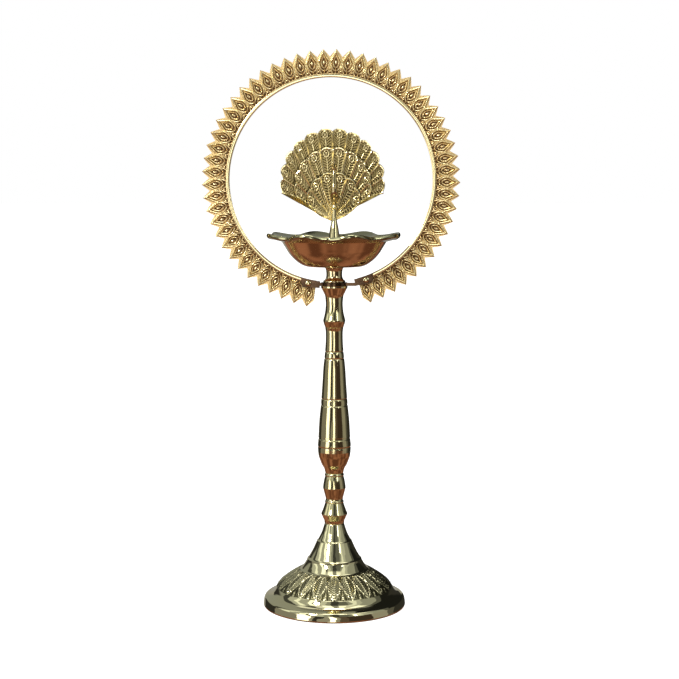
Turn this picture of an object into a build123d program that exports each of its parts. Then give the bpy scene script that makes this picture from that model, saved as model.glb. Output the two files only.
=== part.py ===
from build123d import *
from math import cos, radians, sin
import os

# Brass standing oil lamp (samai) with a peacock finial and a sun-ray halo ring.
# Millimetres, +Z up. The stem's axis is the Z axis, the foot stands on z = 0, and the
# lamp's front faces -Y, with +X to the right.

# ---- Driving dimensions -----------------------------------------------------------------
# Heights of the joints between the pieces of the stem, from the table up.
FOOT_TOP = 57.4          # foot to lower stem
LOWER_TOP = 92.8         # lower stem to baluster
BALUSTER_TOP = 194.4     # baluster to upper knop
KNOP_TOP = 223.0         # upper knop to the halo's bracket
BRACKET_TOP = 225.2      # bracket to the bowl's neck
NECK_TOP = 236.2         # neck to the underside of the bowl
PEDESTAL_FOOT = 246.0    # boss inside the bowl to the finial
SPINDLE_TOP = 276.7      # finial spindle to the peacock's feet

FOOT_R = 49.6            # radius of the foot on the table

STUD_R = 3.0             # screwed studs that hold the stack together
STUD_GAP = 0.05          # running clearance of a stud in the piece that unscrews
STUD_HOLD = 12.4         # length of a stud fixed in its own piece
STUD_REACH = 13.0        # length of a stud standing in the next piece
STUD_FREE_END = 0.6      # free depth past a stud's end

# Lines cut round the baluster, in pairs: (height, radius of the surface there).
BALUSTER_LINES = [(111.3, 11.5), (117.0, 11.1), (140.4, 9.35), (144.9, 9.02), (172.8, 6.9),
                  (177.7, 6.42)]
LINE_WIDTH, LINE_DEPTH = 0.6, 0.3

BOWL_WALL = 1.6
LIP_VALLEY_R = 41.0      # edge radius of the bowl's lip between two lobes
LIP_LOBE_R = 47.2        # edge radius of the lip at a lobe
LIP_LOBES = 8
LIP_FIRST_LOBE = 17.5    # degrees from +X, so that a valley faces nearly to the front
LIP_EDGE_Z = 258.8       # height of the lip at a lobe
LIP_BEAD = 2.9           # height of the rolled bead along the lip's edge
BOSS_R = 6.0             # boss on the bowl's floor that takes the finial

RING_X, RING_Z = -2.1, 294.9    # the halo sits a little to the left of the stem
RING_TURN = 3.45                # degrees that the halo is turned in its own plane
RING_IN_R = 69.15
RING_RIM_R = 71.4               # outer edge of the raised inner rim
RING_VALLEY_R = 83.0
RING_TIP_R = 87.9
RING_THICK = 2.0
RING_RIM_RISE = 0.6
TEETH = 57
TOOTH_PITCH = 5.905             # degrees
RING_BACK_Y = 0.0               # back face of the halo
RIM_FRONT_Y = RING_BACK_Y - RING_THICK - RING_RIM_RISE    # the bracket's pads lie on it

BRACKET_EYE_R = 9.0
BRACKET_THICK = BRACKET_TOP - KNOP_TOP
PAD_THICK = 1.6
PAD_ANGLE_IN, PAD_ANGLE_OUT = 9.6, 21.0    # degrees from the halo's lowest point
PAD_HEIGHT = 6.0
RIVET_ANGLE = 16.0
RIVET_R = 1.3
RIVET_HEAD_R = 2.1
RIVET_HEAD_RISE = 0.8

FAN_BACK_Y = 4.8
FAN_THICK = 1.4
FAN_TIER_STEP = 0.7
FAN_TIP = (-0.9, 266.5)
# S-curve of the fan's lower edges, as shares of the way from the tip to a corner.
FAN_SIDE = [(0.25, 0.19), (0.52, 0.62), (0.76, 0.85)]
FAN_PIN_R = 1.0
FAN_PIN_Z = 285.0

os.makedirs("parts", exist_ok=True)


# ---- Helpers ----------------------------------------------------------------------------
def turned(*runs):
    """A solid turned about Z. Each run of (r, z) points is a line, or a spline if longer."""
    edges = []
    for run in runs:
        points = [(r, 0, z) for r, z in run]
        edges.append(Line(*points) if len(points) == 2 else Spline(*points))
    (first_r, first_z), (last_r, last_z) = runs[0][0], runs[-1][-1]
    if last_r > 0:
        edges.append(Line((last_r, 0, last_z), (0, 0, last_z)))
    if first_r > 0:
        edges.append(Line((0, 0, first_z), (first_r, 0, first_z)))
    edges.append(Line((0, 0, last_z), (0, 0, first_z)))
    return revolve(Face(Wire(edges)), Axis.Z)


def rod(radius, low, high):
    """A cylinder on the stem's axis."""
    return Pos(0, 0, (low + high) / 2) * Cylinder(radius, high - low)


def stud_above(joint_z, reach=STUD_REACH, hold=STUD_HOLD):
    """The stud that stands up out of the piece ending at joint_z."""
    return rod(STUD_R, joint_z - hold, joint_z + reach)


def fixed_hole(joint_z, hold=STUD_HOLD):
    """The hole that holds a stud fast, below joint_z."""
    return rod(STUD_R, joint_z - hold, joint_z)


def screw_hole(joint_z, reach=STUD_REACH):
    """The hole that screws onto a stud, above joint_z."""
    return rod(STUD_R + STUD_GAP, joint_z, joint_z + reach + STUD_FREE_END)


def on_ring(radius, angle, centre=(RING_X, RING_Z), turn=RING_TURN, y=0.0):
    """A point of the halo's plane: angle in degrees from its lowest point, to the right."""
    a = radians(angle + turn)
    return (centre[0] + radius * sin(a), y, centre[1] - radius * cos(a))


def plate(outline, front_y, back_y):
    """A flat plate in the XZ plane between two Y positions, from a closed list of edges."""
    face = Face(Wire(outline))
    return Pos(0, front_y, 0) * extrude(face, amount=back_y - front_y, dir=(0, 1, 0))


# ---- Foot and stem ----------------------------------------------------------------------
def make_foot():
    """Bell foot: flared neck, domed petal band, hollow moulding and a rolled base band."""
    flare = [(6.8, FOOT_TOP), (7.5, 55.0), (9.0, 50.5), (11.9, 44.6), (15.0, 38.6),
             (18.3, 32.6), (20.8, 28.6), (23.3, 24.9)]
    petal_band = [(23.3, 24.9), (28.4, 22.3), (33.2, 19.4), (37.8, 15.8), (40.6, 12.4)]
    step = [(40.6, 12.4), (41.3, 11.2)]
    moulding = [(41.3, 11.2), (43.3, 8.6), (47.4, 6.3)]
    base_band = [(47.4, 6.3), (48.8, 5.3), (49.4, 3.0), (FOOT_R, 0.0)]
    rim = [(FOOT_R, 0.0), (46.6, 0.0)]
    inside = [(46.6, 0.0), (43.6, 4.6), (38.2, 10.6), (30.0, 17.4), (21.5, 22.5),
              (17.0, 29.5), (13.0, 36.6), (9.0, 41.0)]
    return turned(flare, petal_band, step, moulding, base_band, rim, inside) - fixed_hole(FOOT_TOP)


def make_lower_stem():
    """Two knops and two beads between the foot and the baluster."""
    lower_knop = [(6.9, FOOT_TOP), (7.1, 59.3), (8.2, 62.1), (9.1, 64.3), (7.7, 67.8), (6.3, 72.0)]
    bead = [(6.3, 72.0), (6.5, 72.8), (6.0, 73.8)]
    upper_knop = [(6.0, 73.8), (6.8, 79.1), (7.9, 82.7), (7.2, 87.6), (6.4, 90.8)]
    top_bead = [(6.4, 90.8), (6.7, 91.6), (6.3, LOWER_TOP)]
    body = turned(lower_knop, bead, upper_knop, top_bead)
    return body - screw_hole(FOOT_TOP) - fixed_hole(LOWER_TOP, hold=10.0)


def make_baluster():
    """Long vase-shaped baluster with three pairs of cut rings."""
    belly = [(6.3, LOWER_TOP), (7.1, 96.1), (8.7, 98.9), (9.8, 101.7), (10.8, 104.5),
             (11.3, 107.6), (11.5, 111.3)]
    shaft = [(11.5, 111.3), (11.1, 117.0), (10.4, 129.8), (9.35, 140.4), (8.3, 154.9),
             (7.6, 166.1), (6.9, 172.8), (6.2, 180.0), (5.9, 185.5), (5.9, 191.0),
             (6.3, BALUSTER_TOP)]
    body = turned(belly, shaft)
    for z, surface_r in BALUSTER_LINES:
        floor_r, half = surface_r - LINE_DEPTH, LINE_WIDTH / 2
        body = body - (rod(14.0, z - half, z + half) - rod(floor_r, z - half, z + half))
    return body - screw_hole(LOWER_TOP) - fixed_hole(BALUSTER_TOP, hold=10.0)


def make_upper_knop():
    """Bulb under a waisted neck that flares into the collar below the bracket."""
    bulb = [(6.3, BALUSTER_TOP), (7.2, 196.6), (7.6, 199.3), (6.9, 202.1), (6.2, 204.9),
            (5.85, 210.4), (6.2, 215.9)]
    collar = [(6.2, 215.9), (7.55, 218.6), (8.9, 221.4)]
    top_edge = [(8.9, 221.4), (9.1, KNOP_TOP)]
    body = turned(bulb, collar, top_edge)
    return body - screw_hole(BALUSTER_TOP, reach=11.0) - fixed_hole(KNOP_TOP, hold=10.0)


# ---- Halo -------------------------------------------------------------------------------
def make_bracket():
    """Eye plate around the stud, with two arms that end in riveted pads before the halo."""
    eye = rod(BRACKET_EYE_R, KNOP_TOP, BRACKET_TOP)
    middle_z = (KNOP_TOP + BRACKET_TOP) / 2
    arms = Pos(0, RIM_FRONT_Y - PAD_THICK / 2, middle_z) * Box(30.0, PAD_THICK, BRACKET_THICK)
    body = eye + arms
    for side in (-1, 1):
        corners = [on_ring(RING_IN_R, side * PAD_ANGLE_IN), on_ring(RING_IN_R, side * PAD_ANGLE_OUT),
                   on_ring(RING_IN_R + PAD_HEIGHT, side * (PAD_ANGLE_IN + 9.0)),
                   on_ring(RING_IN_R + 4.6, side * PAD_ANGLE_IN)]
        top_middle = on_ring(RING_IN_R, side * (PAD_ANGLE_IN + PAD_ANGLE_OUT) / 2)
        outline = [ThreePointArc(corners[0], top_middle, corners[1]), Line(corners[1], corners[2]),
                   Line(corners[2], corners[3]), Line(corners[3], corners[0])]
        pad = plate(outline, RIM_FRONT_Y - PAD_THICK, RIM_FRONT_Y)
        body = body + (pad - rivet_shank(side))
    return body - rod(STUD_R + STUD_GAP, KNOP_TOP - 1, BRACKET_TOP + 1)


def rivet_axis(side):
    """The axis of one rivet, at the height of its radius on the halo."""
    x, _, z = on_ring(RING_IN_R + 2.6, side * RIVET_ANGLE)
    return x, z


def rivet_shank(side):
    x, z = rivet_axis(side)
    front, back = RIM_FRONT_Y - PAD_THICK, RING_BACK_Y
    shank = Cylinder(RIVET_R, back - front)
    return Pos(x, (front + back) / 2, z) * Rot(90, 0, 0) * shank


def make_bracket_rivets():
    """Two rivets through the halo's ends and the bracket's pads."""
    rivets = []
    front, back = RIM_FRONT_Y - PAD_THICK, RING_BACK_Y
    for side in (-1, 1):
        x, z = rivet_axis(side)
        head = Cylinder(RIVET_HEAD_R, RIVET_HEAD_RISE)
        front_head = Pos(x, front - RIVET_HEAD_RISE / 2, z) * Rot(90, 0, 0) * head
        back_head = Pos(x, back + RIVET_HEAD_RISE / 2, z) * Rot(90, 0, 0) * head
        rivets.append(rivet_shank(side) + front_head + back_head)
    return Compound(children=rivets)


def make_ring():
    """Open halo plate: pointed rays outside, a raised rim inside, a gap over the bracket."""
    first = 180 - (TEETH - 1) / 2 * TOOTH_PITCH - TOOTH_PITCH / 2
    points = []
    for tooth in range(TEETH):
        start = first + tooth * TOOTH_PITCH
        points += [on_ring(RING_VALLEY_R, start), on_ring(RING_TIP_R, start + TOOTH_PITCH / 2)]
    last = first + TEETH * TOOTH_PITCH
    points.append(on_ring(RING_VALLEY_R, last))
    edges = [Line(a, b) for a, b in zip(points, points[1:])]
    inner_last, inner_first = on_ring(RING_IN_R, last), on_ring(RING_IN_R, first)
    inner_arc = ThreePointArc(inner_last, on_ring(RING_IN_R, 180), inner_first)
    edges += [Line(points[-1], inner_last), inner_arc, Line(inner_first, points[0])]
    front = RING_BACK_Y - RING_THICK
    body = plate(edges, front, RING_BACK_Y)
    rim_last, rim_first = on_ring(RING_RIM_R, last), on_ring(RING_RIM_R, first)
    rim = [ThreePointArc(rim_first, on_ring(RING_RIM_R, 180), rim_last), Line(rim_last, inner_last),
           inner_arc, Line(inner_first, rim_first)]
    body = body + plate(rim, front - RING_RIM_RISE, front)
    for side in (-1, 1):
        x, z = rivet_axis(side)
        boss = Pos(x, front - RING_RIM_RISE / 2, z) * Rot(90, 0, 0) * Cylinder(RIVET_HEAD_R, RING_RIM_RISE)
        body = body + boss - rivet_shank(side)
    return body


# ---- Bowl -------------------------------------------------------------------------------
def make_bowl_neck():
    """Necked ferrule that screws down on the bracket and is peened into the bowl's floor."""
    flange = [(7.6, BRACKET_TOP), (7.6, 226.4)]
    waist = [(7.6, 226.4), (6.2, 227.4), (5.5, 229.6), (5.6, 233.0), (7.4, NECK_TOP)]
    body = turned(flange, waist) + rod(2.5, NECK_TOP, NECK_TOP + 3.0)
    return body - rod(STUD_R + STUD_GAP, BRACKET_TOP, BRACKET_TOP + 9.4)


def lobe_outline():
    """The lip's outline: arcs from valley to valley, each bulging out to a lobe."""
    step = 360 / LIP_LOBES
    edges = []
    for lobe in range(LIP_LOBES):
        middle = LIP_FIRST_LOBE + lobe * step
        ends = [radians(middle - step / 2), radians(middle + step / 2)]
        start, end = [(LIP_VALLEY_R * cos(a), LIP_VALLEY_R * sin(a), 0) for a in ends]
        top = (LIP_LOBE_R * cos(radians(middle)), LIP_LOBE_R * sin(radians(middle)), 0)
        edges.append(ThreePointArc(start, top, end))
    return edges


def make_bowl():
    """Oil bowl with a lobed, flaring lip and a boss for the finial."""
    lip_r = LIP_LOBE_R + 0.3
    outside = [(19.2, NECK_TOP), (22.9, 237.8), (26.7, 240.6), (29.4, 243.3), (31.5, 246.0),
               (33.2, 248.8), (35.9, 253.2)]
    lip_under = [(35.9, 253.2), (40.8, 254.7), (lip_r, LIP_EDGE_Z - LIP_BEAD)]
    edge = [(lip_r, LIP_EDGE_Z - LIP_BEAD), (lip_r, LIP_EDGE_Z)]
    lip_top = [(lip_r, LIP_EDGE_Z), (40.6, 257.0), (35.0, 254.9)]
    inside = [(35.0, 254.9), (32.0, 250.0), (29.9, 246.6), (27.8, 244.0), (25.3, 241.6),
              (22.0, 239.2), (18.6, NECK_TOP + BOWL_WALL)]
    body = turned(outside, lip_under, edge, lip_top, inside)
    lobes = extrude(Face(Wire(lobe_outline())), amount=60.0, dir=(0, 0, 1))
    body = body & (Pos(0, 0, 220.0) * lobes)
    body = body + rod(BOSS_R, NECK_TOP + 1.0, PEDESTAL_FOOT)
    finial_hole = rod(STUD_R + STUD_GAP, PEDESTAL_FOOT - 5.6, PEDESTAL_FOOT)
    return body - rod(2.5, NECK_TOP, NECK_TOP + 3.0) - finial_hole


# ---- Finial -----------------------------------------------------------------------------
def make_pedestal():
    """Conical pedestal that runs up into the thin spindle under the peacock."""
    flange = [(6.6, PEDESTAL_FOOT), (6.6, 247.2)]
    cone = [(6.6, 247.2), (5.2, 249.4), (4.5, 252.0), (3.9, 255.5), (3.4, 259.0), (2.9, 262.4),
            (2.3, 265.2), (1.8, 268.0), (1.6, 271.0), (1.6, 275.2)]
    cap = [(1.6, 275.2), (1.9, 275.9), (1.9, SPINDLE_TOP)]
    return turned(flange, cone, cap) - rod(STUD_R, PEDESTAL_FOOT, PEDESTAL_FOOT + 5.0)


def make_peacock():
    """Peacock that faces the front: body, drawn-up neck, head, bill and crest."""
    fan_face = FAN_BACK_Y - FAN_THICK - 2 * FAN_TIER_STEP
    # Body sections from breast to rump: (y, z of the middle, half width, half height).
    sections = [(-12.6, 286.6, 0.6, 1.0), (-10.6, 286.2, 2.2, 3.9), (-7.0, 285.6, 2.9, 5.3),
                (-2.5, 284.4, 2.6, 4.6), (fan_face, 284.4, 1.9, 2.6)]
    body = loft([Pos(0, y, z) * Rot(90, 0, 0) * Ellipse(a, c).face() for y, z, a, c in sections])
    # Neck sections, level circles: (y, z, radius).
    neck_path = [(-9.0, 287.5, 2.4), (-10.2, 292.5, 2.0), (-8.6, 297.5, 1.6), (-8.0, 303.6, 1.6)]
    neck = loft([Face(Wire(Pos(0, y, z) * Circle(r).wire())) for y, z, r in neck_path])
    legs = rod(1.9, SPINDLE_TOP, 281.5)
    head = Pos(0, -8.2, 304.2) * Sphere(2.1)
    bill = Pos(0, -12.0, 303.6) * Rot(98, 0, 0) * Cone(1.2, 0.25, 4.6)
    crest = Pos(0, -7.6, 306.6) * Box(0.8, 3.0, 2.6)
    return body + legs + neck + head + bill + crest - fan_pin_shank()


def fan_pin_shank():
    return Pos(0, (FAN_BACK_Y - 4.0) / 2, FAN_PIN_Z) * Rot(90, 0, 0) * Cylinder(FAN_PIN_R, FAN_BACK_Y + 4.0)


def make_fan_pin():
    """Pin through the fan into the bird's rump, with a head behind the fan."""
    head = Pos(0, FAN_BACK_Y + 0.5, FAN_PIN_Z) * Rot(90, 0, 0) * Cylinder(2.2, 1.0)
    return fan_pin_shank() + head


def fan_tier(centre, radius, feathers, half_angle, tip, front_y, back_y, bulge):
    """One tier of the fan: scalloped arc of feathers, with S-curved sides down to the tip."""
    def at(angle, r):
        return (centre[0] + r * sin(radians(angle)), 0, centre[1] + r * cos(radians(angle)))

    step = 2 * half_angle / feathers
    edges = []
    for feather in range(feathers):
        left = -half_angle + feather * step
        start, end = at(left, radius - bulge), at(left + step, radius - bulge)
        edges.append(ThreePointArc(start, at(left + step / 2, radius), end))
    right_end, left_end = at(half_angle, radius - bulge), at(-half_angle, radius - bulge)
    low = (tip[0], 0, tip[1])
    for start, end, corner in ((right_end, low, right_end), (low, left_end, left_end)):
        knees = [(tip[0] + (corner[0] - tip[0]) * across, 0, tip[1] + (corner[2] - tip[1]) * up)
                 for across, up in FAN_SIDE]
        edges.append(Spline(start, *(knees if end is left_end else knees[::-1]), end))
    return plate(edges, front_y, back_y)


def make_fan():
    """Displayed tail: three stepped tiers of feathers, cast in one piece."""
    front = FAN_BACK_Y - FAN_THICK
    outer = fan_tier((-1.2, 294.4), 36.1, 12, 102.5, FAN_TIP, front, FAN_BACK_Y, 1.7)
    middle = fan_tier((-0.9, 291.0), 26.6, 10, 98.0, (FAN_TIP[0], FAN_TIP[1] + 1.4),
                      front - FAN_TIER_STEP, front, 1.4)
    inner = fan_tier((-0.5, 282.1), 18.4, 6, 88.0, (FAN_TIP[0], FAN_TIP[1] + 2.8),
                     front - 2 * FAN_TIER_STEP, front - FAN_TIER_STEP, 1.2)
    return outer + middle + inner - fan_pin_shank()


# ---- Write every piece ------------------------------------------------------------------
PIECES = {
    "foot": make_foot(),
    "foot_stud": stud_above(FOOT_TOP),
    "lower_stem": make_lower_stem(),
    "lower_stud": stud_above(LOWER_TOP, hold=10.0),
    "baluster": make_baluster(),
    "upper_stud": stud_above(BALUSTER_TOP, reach=11.0, hold=10.0),
    "upper_knop": make_upper_knop(),
    "bowl_stud": stud_above(KNOP_TOP, reach=11.0, hold=10.0),
    "bracket": make_bracket(),
    "prabhavali_ring": make_ring(),
    "bracket_rivets": make_bracket_rivets(),
    "bowl_neck": make_bowl_neck(),
    "bowl_dish": make_bowl(),
    "finial_pedestal": make_pedestal(),
    "finial_stud": rod(STUD_R, PEDESTAL_FOOT - 5.0, PEDESTAL_FOOT + 5.0),
    "peacock_body": make_peacock(),
    "tail_fan": make_fan(),
    "fan_pin": make_fan_pin(),
}

for name, shape in PIECES.items():
    export_step(shape, f"parts/{name}.step")
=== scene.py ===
# %% [markdown]
# # A brass samai, carved and polished
# A samai is a standing oil lamp: a bell foot, a turned stem, a lobed bowl for oil and
# wicks, a peacock with its tail spread, and a halo of leaf rays behind it. The frame holds
# every piece at its place and size. Here each gets its carved detail and its metal.

# %% Load the frame and remember its box
import math

import bmesh
import bpy
import numpy as np
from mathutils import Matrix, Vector


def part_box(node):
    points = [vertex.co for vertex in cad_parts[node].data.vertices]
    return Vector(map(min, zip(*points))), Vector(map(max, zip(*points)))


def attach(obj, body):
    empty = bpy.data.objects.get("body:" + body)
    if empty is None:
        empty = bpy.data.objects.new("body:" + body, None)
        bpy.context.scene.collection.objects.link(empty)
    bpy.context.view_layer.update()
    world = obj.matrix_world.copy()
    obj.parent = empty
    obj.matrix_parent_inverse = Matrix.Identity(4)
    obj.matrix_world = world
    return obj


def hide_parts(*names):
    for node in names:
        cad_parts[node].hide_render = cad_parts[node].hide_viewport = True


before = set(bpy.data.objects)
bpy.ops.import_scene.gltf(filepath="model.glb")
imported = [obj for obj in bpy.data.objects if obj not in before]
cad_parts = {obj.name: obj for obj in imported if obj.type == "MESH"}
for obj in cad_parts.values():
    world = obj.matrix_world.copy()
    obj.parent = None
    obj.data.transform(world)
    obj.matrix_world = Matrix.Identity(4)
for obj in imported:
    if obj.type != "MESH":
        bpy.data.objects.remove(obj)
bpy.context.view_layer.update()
MM = 0.001

# %% [markdown]
# ## The camera first
# The lamp is looked at from a metre away, from a little above the middle of its bowl.
# A long lens keeps the halo round. A small step to the right puts the stem just left of
# the middle.

# %% Camera
PITCH = math.radians(5.884)
camera = bpy.data.objects.new("camera", bpy.data.cameras.new("camera"))
camera.data.sensor_width = 36.0
camera.data.lens = 77.94
camera.location = (0.0036, -1.007, 0.2896)
camera.rotation_euler = (math.pi / 2 - PITCH, 0, 0)
bpy.context.scene.collection.objects.link(camera)
bpy.context.scene.camera = camera
print("lens", camera.data.lens, "mm, looking down", round(math.degrees(PITCH), 2), "degrees")

# %% [markdown]
# ## Curves and grids
# Nearly every piece is a grid of points: rows follow a profile, columns go across it.
# One helper draws a smooth line through a few given points, another turns a grid into
# a mesh. Each point also keeps a number called relief, 0 in the deepest cuts and 1 on the
# ridges, so that the metal can be dark in the cuts and rubbed bright on top.


# %% Helpers for curves and grids
def smooth_line(points, per_span=8):
    """Points along a smooth curve through the given ones."""
    p = np.array(points, float)
    ends = np.vstack([2 * p[0] - p[1], p, 2 * p[-1] - p[-2]])
    line = []
    for i in range(len(p) - 1):
        a, b, c, d = ends[i:i + 4]
        for t in np.linspace(0, 1, per_span, endpoint=False):
            line.append(0.5 * (2 * b + (c - a) * t + (2 * a - 5 * b + 4 * c - d) * t**2
                               + (3 * b - a - 3 * c + d) * t**3))
    line.append(p[-1])
    return np.array(line)


def outline(*runs, per_span=8):
    """One profile from several runs: two points make a straight run, more a curved one."""
    rows = []
    for run in runs:
        line = np.array(run, float) if len(run) == 2 else smooth_line(run, per_span)
        rows.append(line if not rows else line[1:])
    return np.vstack(rows)


def grid_mesh(name, points, relief=None, wrap_rows=False, wrap_columns=False):
    """A mesh over a grid of points in millimetres, rows by columns by 3."""
    rows, columns = points.shape[:2]
    index = np.arange(rows * columns).reshape(rows, columns)
    if wrap_rows:
        index = np.vstack([index, index[:1]])
    if wrap_columns:
        index = np.hstack([index, index[:, :1]])
    quads = np.stack([index[:-1, :-1], index[:-1, 1:], index[1:, 1:], index[1:, :-1]], axis=-1)
    mesh = bpy.data.meshes.new(name)
    mesh.from_pydata((points.reshape(-1, 3) * MM).tolist(), [], quads.reshape(-1, 4).tolist())
    values = np.ones(rows * columns) if relief is None else np.clip(relief, 0, 1).ravel()
    mesh.attributes.new("relief", "FLOAT", "POINT").data.foreach_set("value", values)
    return mesh


def ridge(distance, width):
    """A rounded ridge that is 1 where distance is 0."""
    return np.exp(-(distance / width) ** 2)


print("a smooth line through 3 points has", len(smooth_line([(0, 0), (1, 1), (2, 0)])), "points")


# %% [markdown]
# ## Finishing a mesh
# A grid comes out open at its ends and with its poles unmerged. Each piece is closed, its
# faces turned outwards, and it is shaded smooth except across its crisp edges.


# %% Helpers that finish a piece
CRISP = math.radians(38)
SEAM = 0.002 * MM


def tidy_mesh(mesh, close_ends=False):
    """Merges doubled points, turns the faces outwards and shades all but crisp edges smooth."""
    shape = bmesh.new()
    shape.from_mesh(mesh)
    bmesh.ops.remove_doubles(shape, verts=shape.verts, dist=SEAM)
    if close_ends:
        bmesh.ops.holes_fill(shape, edges=[e for e in shape.edges if e.is_boundary], sides=0)
    bmesh.ops.recalc_face_normals(shape, faces=shape.faces)
    shape.to_mesh(mesh)
    shape.free()
    mesh.polygons.foreach_set("use_smooth", np.ones(len(mesh.polygons), bool))
    mesh.set_sharp_from_angle(angle=CRISP)


def join_meshes(name, meshes):
    """One mesh from several, with their relief kept."""
    whole = bmesh.new()
    for mesh in meshes:
        whole.from_mesh(mesh)
    joined = bpy.data.meshes.new(name)
    whole.to_mesh(joined)
    whole.free()
    return joined


def place(name, mesh, material, body, nodes, close_ends=False):
    """Makes the finished piece, rides it on its body and lets it stand for its CAD nodes."""
    tidy_mesh(mesh, close_ends)
    mesh.materials.clear()
    mesh.materials.append(material)
    piece = bpy.data.objects.new(name, mesh)
    bpy.context.scene.collection.objects.link(piece)
    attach(piece, body)
    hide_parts(*nodes)
    print(name, len(mesh.polygons), "faces")


print("edges sharper than", round(math.degrees(CRISP)), "degrees stay crisp")


# %% [markdown]
# ## Brass, in two finishes
# Turned brass is buffed on the lathe: it mirrors the room, and very fine rings from the
# buffing wheel soften the mirror up and down. Cast brass keeps dark patina in its cuts
# and is rubbed bright on its ridges. Each effect is a node group with named inputs, so
# that every brass of the lamp can use it with values of its own. Three helpers come
# first: one starts a group, one adds a node and fills or links its inputs in one call,
# and one sets the ends of a range.


# %% Helpers for shader nodes
def shader_group(name, inputs, outputs):
    tree = bpy.data.node_groups.new(name, "ShaderNodeTree")
    for label, kind, value in inputs:
        socket = tree.interface.new_socket(name=label, in_out="INPUT", socket_type=kind)
        socket.default_value = value
    for label, kind in outputs:
        tree.interface.new_socket(name=label, in_out="OUTPUT", socket_type=kind)
    return tree, tree.nodes.new("NodeGroupInput"), tree.nodes.new("NodeGroupOutput")


def node(tree, kind, settings=None, **inputs):
    """A node with its settings and its unlinked inputs set, or linked when given a socket."""
    made = tree.nodes.new(kind)
    for key, value in (settings or {}).items():
        setattr(made, key, value)
    for key, value in inputs.items():
        socket = made.inputs[int(key[1:])] if key[0] == "i" and key[1:].isdigit() else made.inputs[key]
        if isinstance(value, bpy.types.NodeSocket):
            tree.links.new(value, socket)
        else:
            socket.default_value = value
    return made


def set_range(range_node, low, high, side="From"):
    """Sets the two ends of a Map Range node: of its From side or of its To side."""
    range_node.inputs[side + " Min"].default_value = low
    range_node.inputs[side + " Max"].default_value = high


print("shader helpers ready")

# %% [markdown]
# ## Film, buffing rings and rubbed relief
# Hands and air leave a cloudy film, made from noise: it gives a mask and a roughness.
# The buffing wheel leaves rings, so that noise changes only up the piece. The third
# group turns the relief number of a cast piece into three colours, dark, middle and
# bright, with a fine grain that keeps their borders from being clean.


# %% Shader groups
def make_handling_film():
    """Cloudy film left by hands and air: a mask, and a roughness that follows it."""
    tree, given, out = shader_group(
        "handling_film",
        [("Vector", "NodeSocketVector", (0, 0, 0)), ("Cloud Scale", "NodeSocketFloat", 30.0),
         ("Low Roughness", "NodeSocketFloat", 0.1), ("High Roughness", "NodeSocketFloat", 0.3)],
        [("Mask", "NodeSocketFloat"), ("Roughness", "NodeSocketFloat")])
    cloud = node(tree, "ShaderNodeTexNoise", Vector=given.outputs["Vector"],
                 Scale=given.outputs["Cloud Scale"], Detail=6.0, Roughness=0.62)
    mask = node(tree, "ShaderNodeMapRange", Value=cloud.outputs["Fac"])
    set_range(mask, 0.38, 0.68)
    rough = node(tree, "ShaderNodeMapRange", Value=mask.outputs["Result"])
    tree.links.new(given.outputs["Low Roughness"], rough.inputs["To Min"])
    tree.links.new(given.outputs["High Roughness"], rough.inputs["To Max"])
    tree.links.new(mask.outputs["Result"], out.inputs["Mask"])
    tree.links.new(rough.outputs["Result"], out.inputs["Roughness"])
    return tree


def make_buffing_rings():
    """Rings left by the buffing wheel: a height that changes only up the piece."""
    tree, given, out = shader_group(
        "buffing_rings",
        [("Vector", "NodeSocketVector", (0, 0, 0)), ("Rings per Metre", "NodeSocketFloat", 2600.0)],
        [("Height", "NodeSocketFloat")])
    apart = node(tree, "ShaderNodeSeparateXYZ", i0=given.outputs["Vector"])
    up = node(tree, "ShaderNodeMath", {"operation": "MULTIPLY"}, i0=apart.outputs["Z"],
              i1=given.outputs["Rings per Metre"])
    rings = node(tree, "ShaderNodeTexNoise", {"noise_dimensions": "1D"}, W=up.outputs[0],
                 Scale=1.0, Detail=3.0, Roughness=0.7)
    tree.links.new(rings.outputs["Fac"], out.inputs["Height"])
    return tree


def make_rubbed_relief():
    """Patina in the cuts and rubbed metal on the ridges, broken up by a fine grain."""
    tree, given, out = shader_group(
        "rubbed_relief",
        [("Vector", "NodeSocketVector", (0, 0, 0)), ("Relief", "NodeSocketFloat", 1.0),
         ("Cut Colour", "NodeSocketColor", (0.1, 0.06, 0.02, 1)),
         ("Middle Colour", "NodeSocketColor", (0.5, 0.35, 0.13, 1)),
         ("Ridge Colour", "NodeSocketColor", (0.9, 0.7, 0.35, 1))],
        [("Colour", "NodeSocketColor"), ("Mask", "NodeSocketFloat"), ("Grain", "NodeSocketFloat")])
    grain = node(tree, "ShaderNodeTexNoise", Vector=given.outputs["Vector"], Scale=1400.0, Detail=4.0)
    spread = node(tree, "ShaderNodeMath", {"operation": "MULTIPLY_ADD"}, i0=grain.outputs["Fac"],
                  i1=0.3, i2=-0.15)
    mixed = node(tree, "ShaderNodeMath", {"operation": "ADD"}, i0=given.outputs["Relief"],
                 i1=spread.outputs[0])
    low = node(tree, "ShaderNodeMapRange", Value=mixed.outputs[0])
    set_range(low, 0.12, 0.42)
    high = node(tree, "ShaderNodeMapRange", Value=mixed.outputs[0])
    set_range(high, 0.4, 0.8)
    first = node(tree, "ShaderNodeMix", {"data_type": "RGBA"}, Factor=low.outputs["Result"])
    second = node(tree, "ShaderNodeMix", {"data_type": "RGBA"}, Factor=high.outputs["Result"])
    tree.links.new(given.outputs["Cut Colour"], first.inputs[6])
    tree.links.new(given.outputs["Middle Colour"], first.inputs[7])
    tree.links.new(first.outputs[2], second.inputs[6])
    tree.links.new(given.outputs["Ridge Colour"], second.inputs[7])
    tree.links.new(second.outputs[2], out.inputs["Colour"])
    tree.links.new(high.outputs["Result"], out.inputs["Mask"])
    tree.links.new(grain.outputs["Fac"], out.inputs["Grain"])
    return tree


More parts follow.
